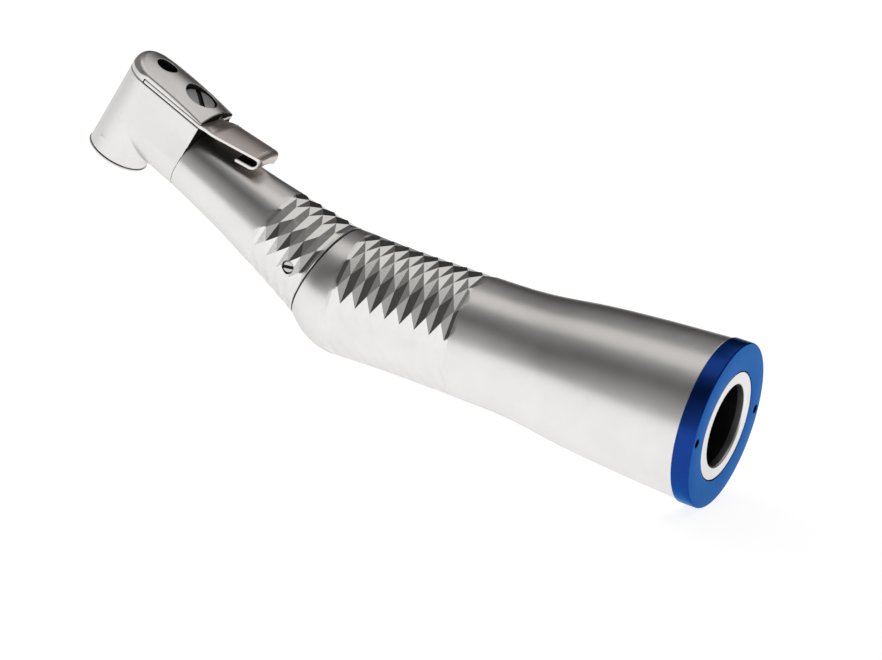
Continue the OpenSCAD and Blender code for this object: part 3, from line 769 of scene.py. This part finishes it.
def finish_lever(lever):
    """Paints a highlight on the lever's cut edges and shade on its inner side, with a lighter and a
    near-black material.
    """
    add_finishes(lever, "painted_edge_highlight", "painted_shade_black")
    path = lever_path()
    hem_middle = path[-2] + (path[3] - path[-2]) / 2
    for face in lever.data.polygons:
        normal = np.array(face.normal)
        up, back, side = HEAD.measure(face.center)
        outward = np.array([back, up]) - hem_middle
        facing = outward @ np.array([normal @ HEAD.up, normal @ HEAD.along])
        inside = facing < 0 if back > TAB_END - HEM_LENGTH else normal @ HEAD.along < 0
        relieved = side > 0 and COLLAR_BACK - 0.1 < back < RELIEF_BACK[-1]
        # Side faces get the painted edge highlight, except the far edges in the relief.
        if abs(normal @ HEAD.side) > FACES_SIDE and not relieved:
            face.material_index = 1
        # Inner faces of the sheet and of the hem get painted shade.
        elif inside and not (back < COLLAR_BACK and up > SHEET_MIDDLE):
            face.material_index = 2


def darken(shell, axes, hidden):
    """Paints shade on the faces for which hidden(along, up, side, normal) holds, with the near-black
    material.
    """
    add_finishes(shell, "painted_shade_black")
    for face in shell.data.polygons:
        if hidden(*axes.measure(face.center), np.array(face.normal)):
            face.material_index = 1


# Faces that darken() paints with shade.
def housing_rear(up, back, side, normal):
    return normal @ HEAD.up > FACES_REAR and back > COLLAR_BACK - 0.2


def cap_recess(up, back, side, normal):
    in_hole = math.hypot(back, side) < CAP_HOLE_R + 0.03
    in_counterbore = math.hypot(back - PIVOT_BACK, side) < COUNTERBORE_R + 0.02
    return housing_rear(up, back, side, normal) or in_hole or in_counterbore


def screw_slot(up, back, side, normal):
    in_slot = abs(slot_offset(back, side)) < SCREW_SLOT_HALF + 0.02
    return in_slot or math.hypot(back - PIVOT_BACK, side) > SCREW_HEAD_R - 0.08


def grub_slot(out, across, along, normal):
    return out < SET_SCREW_TOP - 0.1 and math.hypot(across, along) < SET_SCREW_R - 0.07


def darken_bore(liner):
    """Paints shade into the socket, which sets its wall and floor off from the pale face: mid grey just
    inside the mouth, near black deeper in.
    """
    add_finishes(liner, "spacer_alloy", "painted_bore_shade")
    for face in liner.data.polygons:
        centre = face.center / MM
        radius = math.hypot(centre.y, centre.z)
        if radius < SOCKET_R + 0.02 and centre.x < -0.25:
            face.material_index = 1 if centre.x > -BORE_LIP else 2


# Assembly --------------------------------------------------------------------------------

PIECES = [
    (body_sleeve, "casing", "body_sleeve", "satin_casing"),
    (neck_tube, "casing", "neck_tube", "satin_casing"),
    (head_housing, "casing", "head_housing", "satin_casing"),
    (head_front_ring, "casing", "head_front_ring", "satin_casing"),
    (back_cap, "casing", "back_cap", "satin_casing"),
    (pivot_screw, "casing", "pivot_screw", "screw_steel"),
    (set_screw, "casing", "set_screw", "screw_steel"),
    (neck_seal, "casing", "neck_seal", "black_seal"),
    (socket_sleeve, "casing", "socket_sleeve", "pale_sleeve"),
    (ratio_ring, "casing", "ratio_ring", "blue_ring"),
    (latch_lever, "latch", "latch_lever", "lever_steel"),
]

made = {}
for build, body, node, slot in PIECES:
    obj = build()
    finish_with(obj, slot)
    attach(obj, body)
    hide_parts(node)
    made[node] = obj
# Painted shade in the socket's bore, mid grey at the mouth and near black deeper in.
darken_bore(made["socket_sleeve"])
# Painted highlight on the lever's cut edges and painted shade on its inner side.
finish_lever(made["latch_lever"])
# Painted shade on the cap's rear face, hole and counterbore, the housing's rear face, the pivot screw's slot
# and rim, and the grub screw's slot.
darken(made["back_cap"], HEAD, cap_recess)
darken(made["head_housing"], HEAD, housing_rear)
darken(made["pivot_screw"], HEAD, screw_slot)
darken(made["set_screw"], SET_SCREW, grub_slot)
polish_facets(made["body_sleeve"], BODY, BODY_KNURL, inside=6.9)
polish_facets(made["neck_tube"], NECK, NECK_KNURL, inside=4.8)

# The first word found in a node's name gives its material, so the order matters.
NODE_WORDS = {
    "balls": "bearing_balls",
    "bearing": "bearing_race",
    "gear": "gear_brass",
    "pinion": "gear_brass",
    "oring": "black_seal",
    "shaft": "shaft_steel",
    "tube": "shaft_steel",
    "dog": "shaft_steel",
    "washer": "screw_steel",
    "circlip": "screw_steel",
}


def slot_of(node):
    """Material slot of a carried-over CAD node, from its name."""
    return next((slot for word, slot in NODE_WORDS.items() if word in node), "spacer_alloy")


for node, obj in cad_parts.items():
    if node not in made:
        finish_with(obj, slot_of(node))
        obj.data.shade_smooth()
        obj.data.set_sharp_from_angle(angle=math.radians(30))

# Stage, light and camera -----------------------------------------------------------------

FLOOR_HALF = 3.0  # metres
FLOOR_GLOW = 0.93
# Glow of the floor under the object, lowered as painted shade.
PAINTED_SHADE_GLOW = 0.85
# Brightness of the room by direction, as (share towards the front, light).
SKY = ((-0.95, 0.03), (-0.85, 0.045), (-0.7, 0.12), (-0.5, 0.2), (0.2, 0.18), (0.45, 0.22),
       (0.53, 0.05), (0.66, 0.06), (0.76, 0.2), (0.88, 0.34), (0.95, 0.5))
WARM_WHITE = (1, 0.97, 0.95)
SOFT_WHITE = (1, 0.98, 0.96)

# The camera solved from the photo: focal length and sensor in millimetres, place in metres.
LENS = 142.87
SENSOR = 36
CAMERA_AT = (0.11911, -0.36082, 0.12966)
CAMERA_AXES = ((0.8728, 0.4481, 0.1935), (-0.3094, 0.2014, 0.9294), (0.3775, -0.8710, 0.3144))


def floor():
    """A wide pale floor, softly lit from within like a light table, its glow lowered under the object as
    painted shade.
    """
    low = cad_box[0].z
    half = FLOOR_HALF
    corners = np.array([(-half, -half, low), (half, -half, low), (half, half, low), (-half, half, low)])
    obj = piece("floor", corners, [(0, 1, 2, 3)])
    nodes = Nodes("floor")
    clouds = nodes.noise(40, 3)
    shader = nodes.shader.inputs
    nodes.join(nodes.mix(clouds, (0.5, 0.5, 0.5, 1), (0.52, 0.52, 0.52, 1)), shader["Base Color"])
    split = nodes.add("ShaderNodeSeparateXYZ", Vector=nodes.position())
    # The glow drops towards the object: painted shade.
    front = nodes.remap(split.outputs["Y"], -90, -15, FLOOR_GLOW, PAINTED_SHADE_GLOW)
    rear = nodes.remap(split.outputs["Y"], 5, 40, PAINTED_SHADE_GLOW, FLOOR_GLOW)
    glow = nodes.sum(front, rear, "MAXIMUM")
    shader["Roughness"].default_value = 0.9
    shader["Specular IOR Level"].default_value = 0.0
    shader["Emission Color"].default_value = (1, 1, 1, 1)
    nodes.join(glow, shader["Emission Strength"])
    obj.data.materials.append(nodes.material)


def area_light(name, position, target, size, power, colour):
    """A rectangular lamp aimed at a target. Positions and sizes are in metres, power in watts."""
    lamp = bpy.data.lights.new(name, "AREA")
    lamp.shape = "RECTANGLE"
    lamp.size, lamp.size_y = size
    lamp.energy = power
    lamp.color = colour
    obj = bpy.data.objects.new(name, lamp)
    obj.location = position
    obj.rotation_euler = (Vector(target) - Vector(position)).to_track_quat("-Z", "Y").to_euler()
    bpy.context.scene.collection.objects.link(obj)


def sky():
    """Dim room light: darkest behind the object, with a dark flag and a bright horizon in front of it."""
    world = bpy.data.worlds.new("studio")
    bpy.context.scene.world = world
    world.use_nodes = True
    tree = world.node_tree
    coordinates = tree.nodes.new("ShaderNodeTexCoord")
    split = tree.nodes.new("ShaderNodeSeparateXYZ")
    height = tree.nodes.new("ShaderNodeMapRange")
    height.inputs["From Min"].default_value = 1
    height.inputs["From Max"].default_value = -1
    ramp = tree.nodes.new("ShaderNodeValToRGB")
    stops = ramp.color_ramp.elements
    while len(stops) < len(SKY):
        stops.new(0.5)
    for stop, (towards_front, light) in zip(stops, SKY):
        stop.position = (1 + towards_front) / 2
        stop.color = (light, light * 0.99, light * 0.98, 1)
    tree.links.new(coordinates.outputs["Generated"], split.inputs["Vector"])
    tree.links.new(split.outputs["Y"], height.inputs["Value"])
    tree.links.new(height.outputs["Result"], ramp.inputs["Fac"])
    background = tree.nodes["Background"]
    background.inputs["Strength"].default_value = 1
    tree.links.new(ramp.outputs["Color"], background.inputs["Color"])


def camera():
    lens = bpy.data.cameras.new("camera")
    lens.sensor_width = SENSOR
    lens.lens = LENS
    lens.clip_start, lens.clip_end = 0.01, 20
    obj = bpy.data.objects.new("camera", lens)
    turn = Matrix([Vector(axis).normalized() for axis in CAMERA_AXES]).transposed().to_4x4()
    obj.matrix_world = Matrix.Translation(Vector(CAMERA_AT)) @ turn
    bpy.context.scene.collection.objects.link(obj)
    bpy.context.scene.camera = obj


floor()
sky()
area_light("overhead", (-0.16, 0.03, 0.7), (-0.16, 0, 0), size=(0.9, 0.42), power=0.72, colour=WARM_WHITE)
area_light("rear", (-0.03, 0.42, 0.52), (-0.06, 0, 0), size=(0.3, 0.42), power=0.24, colour=SOFT_WHITE)
camera()
bpy.context.scene.view_settings.view_transform = "Standard"
